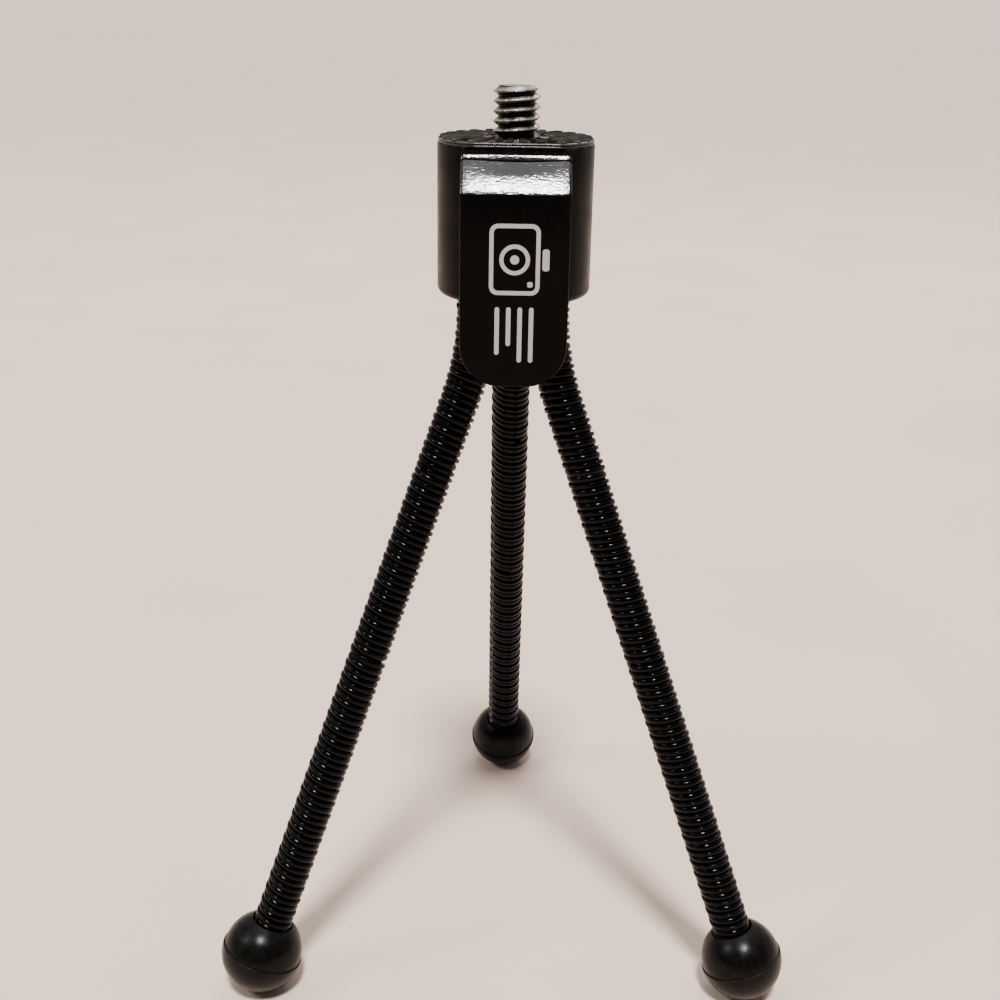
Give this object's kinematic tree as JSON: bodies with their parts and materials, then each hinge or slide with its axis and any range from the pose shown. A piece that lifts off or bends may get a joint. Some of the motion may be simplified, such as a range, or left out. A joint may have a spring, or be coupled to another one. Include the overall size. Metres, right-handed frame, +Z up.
{
  "type": "pocket camera tripod",
  "caption": "Pocket camera tripod with a round head, a threaded stud on a ridged rubber pad, and bendable gooseneck legs that end in rubber balls.",
  "frame": {"origin": "on the floor, in the middle of the box round the three feet", "axes": "+Z up along the head's axis, -Y towards the front cover, +X to the right seen from the front"},
  "size_m": [0.085, 0.0752, 0.1307],
  "materials": {
    "head_plastic": "satin black moulded ABS",
    "cover_plastic": "fine textured black ABS with a worn top edge",
    "pad_rubber": "matt, dusty charcoal rubber",
    "stud_steel": "worn plated steel thread",
    "collar_steel": "plain pressed steel",
    "gooseneck_steel": "black oxide spring steel, satin",
    "foot_rubber": "semi-gloss black rubber"
  },
  "bodies": {
    "head": {"head_body": "head_plastic", "leg_collars": "collar_steel", "top_plate": "head_plastic", "top_pad": "pad_rubber", "camera_screw": "stud_steel", "front_cover": "cover_plastic", "front_left_leg_root": "gooseneck_steel", "front_right_leg_root": "gooseneck_steel", "rear_leg_root": "gooseneck_steel"},
    "front_left_upper": {"front_left_leg_upper": "gooseneck_steel", "front_left_root_bend": "gooseneck_steel"},
    "front_left_sway": {"front_left_leg_sway": "gooseneck_steel", "front_left_sway_bend": "gooseneck_steel"},
    "front_left_middle": {"front_left_leg_middle": "gooseneck_steel", "front_left_middle_bend": "gooseneck_steel"},
    "front_left_lower": {"front_left_leg_lower": "gooseneck_steel", "front_left_lower_bend": "gooseneck_steel", "front_left_foot_plug": "collar_steel", "front_left_foot": "foot_rubber"},
    "front_right_upper": {"front_right_leg_upper": "gooseneck_steel", "front_right_root_bend": "gooseneck_steel"},
    "front_right_sway": {"front_right_leg_sway": "gooseneck_steel", "front_right_sway_bend": "gooseneck_steel"},
    "front_right_middle": {"front_right_leg_middle": "gooseneck_steel", "front_right_middle_bend": "gooseneck_steel"},
    "front_right_lower": {"front_right_leg_lower": "gooseneck_steel", "front_right_lower_bend": "gooseneck_steel", "front_right_foot_plug": "collar_steel", "front_right_foot": "foot_rubber"},
    "rear_upper": {"rear_leg_upper": "gooseneck_steel", "rear_root_bend": "gooseneck_steel"},
    "rear_sway": {"rear_leg_sway": "gooseneck_steel", "rear_sway_bend": "gooseneck_steel"},
    "rear_middle": {"rear_leg_middle": "gooseneck_steel", "rear_middle_bend": "gooseneck_steel"},
    "rear_lower": {"rear_leg_lower": "gooseneck_steel", "rear_lower_bend": "gooseneck_steel", "rear_foot_plug": "collar_steel", "rear_foot": "foot_rubber"}
  },
  "joints": [
    {"name": "front_left_splay", "type": "hinge", "parent": "head", "child": "front_left_upper", "pos_m": [-0.00498, -0.01337, 0.1015], "axis": [-0.5, 0.866, 0], "range_deg": [-15, 55], "deforming": ["front_left_root_bend"]},
    {"name": "front_left_sway", "type": "hinge", "parent": "front_left_upper", "child": "front_left_sway", "pos_m": [-0.00628, -0.01413, 0.09165], "axis": [0.8033, 0.4638, -0.3736], "range_deg": [-30, 30], "deforming": ["front_left_sway_bend"]},
    {"name": "front_left_bend_mid", "type": "hinge", "parent": "front_left_sway", "child": "front_left_middle", "pos_m": [-0.01534, -0.01936, 0.06568], "axis": [0.5, -0.866, 0], "range_deg": [-45, 45], "deforming": ["front_left_middle_bend"]},
    {"name": "front_left_bend_low", "type": "hinge", "parent": "front_left_middle", "child": "front_left_lower", "pos_m": [-0.02515, -0.02502, 0.0379], "axis": [-0.5, 0.866, 0], "range_deg": [-45, 45], "deforming": ["front_left_lower_bend"]},
    {"name": "front_right_splay", "type": "hinge", "parent": "head", "child": "front_right_upper", "pos_m": [0.00498, -0.01337, 0.1015], "axis": [-0.5, -0.866, 0], "range_deg": [-15, 55], "deforming": ["front_right_root_bend"]},
    {"name": "front_right_sway", "type": "hinge", "parent": "front_right_upper", "child": "front_right_sway", "pos_m": [0.00628, -0.01413, 0.09165], "axis": [-0.8033, 0.4638, -0.3736], "range_deg": [-30, 30], "deforming": ["front_right_sway_bend"]},
    {"name": "front_right_bend_mid", "type": "hinge", "parent": "front_right_sway", "child": "front_right_middle", "pos_m": [0.01534, -0.01936, 0.06568], "axis": [0.5, 0.866, 0], "range_deg": [-45, 45], "deforming": ["front_right_middle_bend"]},
    {"name": "front_right_bend_low", "type": "hinge", "parent": "front_right_middle", "child": "front_right_lower", "pos_m": [0.02515, -0.02502, 0.0379], "axis": [-0.5, -0.866, 0], "range_deg": [-45, 45], "deforming": ["front_right_lower_bend"]},
    {"name": "rear_splay", "type": "hinge", "parent": "head", "child": "rear_upper", "pos_m": [0, -0.00475, 0.1015], "axis": [1, 0, 0], "range_deg": [-15, 55], "deforming": ["rear_root_bend"]},
    {"name": "rear_sway", "type": "hinge", "parent": "rear_upper", "child": "rear_sway", "pos_m": [0, -0.00325, 0.09165], "axis": [0, -0.9276, -0.3736], "range_deg": [-30, 30], "deforming": ["rear_sway_bend"]},
    {"name": "rear_bend_mid", "type": "hinge", "parent": "rear_sway", "child": "rear_middle", "pos_m": [0, 0.00721, 0.06568], "axis": [-1, 0, 0], "range_deg": [-45, 45], "deforming": ["rear_middle_bend"]},
    {"name": "rear_bend_low", "type": "hinge", "parent": "rear_middle", "child": "rear_lower", "pos_m": [0, 0.01854, 0.0379], "axis": [1, 0, 0], "range_deg": [-45, 45], "deforming": ["rear_lower_bend"]}
  ]
}
